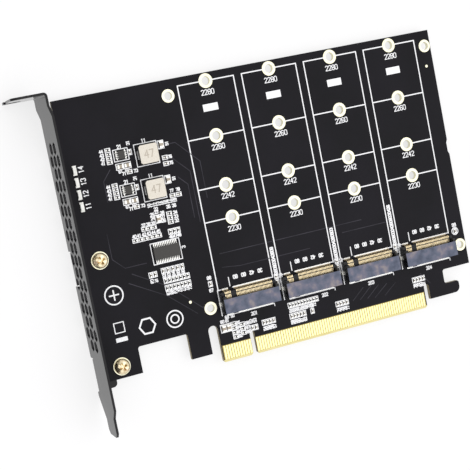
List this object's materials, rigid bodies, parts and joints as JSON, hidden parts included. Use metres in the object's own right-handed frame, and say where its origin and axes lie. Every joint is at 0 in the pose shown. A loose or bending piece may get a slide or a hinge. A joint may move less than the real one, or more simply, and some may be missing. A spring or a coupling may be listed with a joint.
{
  "type": "nvme adapter card",
  "caption": "Slot card that carries M.2 solid state drives in a row of edge sockets, with plated fixing holes for each drive length, power and clock parts and a vented full height bracket.",
  "frame": {"origin": "bottom centre of the whole card's box, component side up", "axes": "+X along the card away from the slot bracket, +Y from the edge connector to the card's top edge, +Z out of the component side"},
  "size_m": [0.166, 0.12, 0.0184],
  "materials": {
    "board": "black solder mask on glass-epoxy laminate",
    "bracket_paint": "satin black",
    "screw_steel": "pale yellow zinc",
    "gold_plate": "gold plated",
    "socket_moulding": "black nylon",
    "tin_plate": "tinned",
    "inductor_block": "pressed iron powder",
    "chip_package": "black epoxy",
    "lamp_moulding": "white",
    "chip_black": "glazed ceramic",
    "chip_ceramic": "ceramic"
  },
  "bodies": {
    "root": {"bracket": "bracket_paint", "bracket_screws": "screw_steel", "chip_capacitors": "chip_ceramic", "chip_resistors": "chip_black", "circuit_board": "board", "clock_buffer": "chip_package", "clock_buffer_leads": "tin_plate", "edge_contacts_back": "gold_plate", "edge_contacts_front": "gold_plate", "inductor_1": "inductor_block", "inductor_2": "inductor_block", "inductor_terminals_1": "tin_plate", "inductor_terminals_2": "tin_plate", "m2_front_contacts_1": "gold_plate", "m2_front_contacts_2": "gold_plate", "m2_front_contacts_3": "gold_plate", "m2_front_contacts_4": "gold_plate", "m2_hold_downs_1": "tin_plate", "m2_hold_downs_2": "tin_plate", "m2_hold_downs_3": "tin_plate", "m2_hold_downs_4": "tin_plate", "m2_rear_contacts_1": "gold_plate", "m2_rear_contacts_2": "gold_plate", "m2_rear_contacts_3": "gold_plate", "m2_rear_contacts_4": "gold_plate", "m2_socket_1": "socket_moulding", "m2_socket_2": "socket_moulding", "m2_socket_3": "socket_moulding", "m2_socket_4": "socket_moulding", "power_capacitors": "chip_ceramic", "regulator_1": "chip_package", "regulator_2": "chip_package", "regulator_leads_1": "tin_plate", "regulator_leads_2": "tin_plate", "status_lamp_1": "lamp_moulding", "status_lamp_2": "lamp_moulding", "status_lamp_3": "lamp_moulding", "status_lamp_4": "lamp_moulding"}
  },
  "joints": []
}
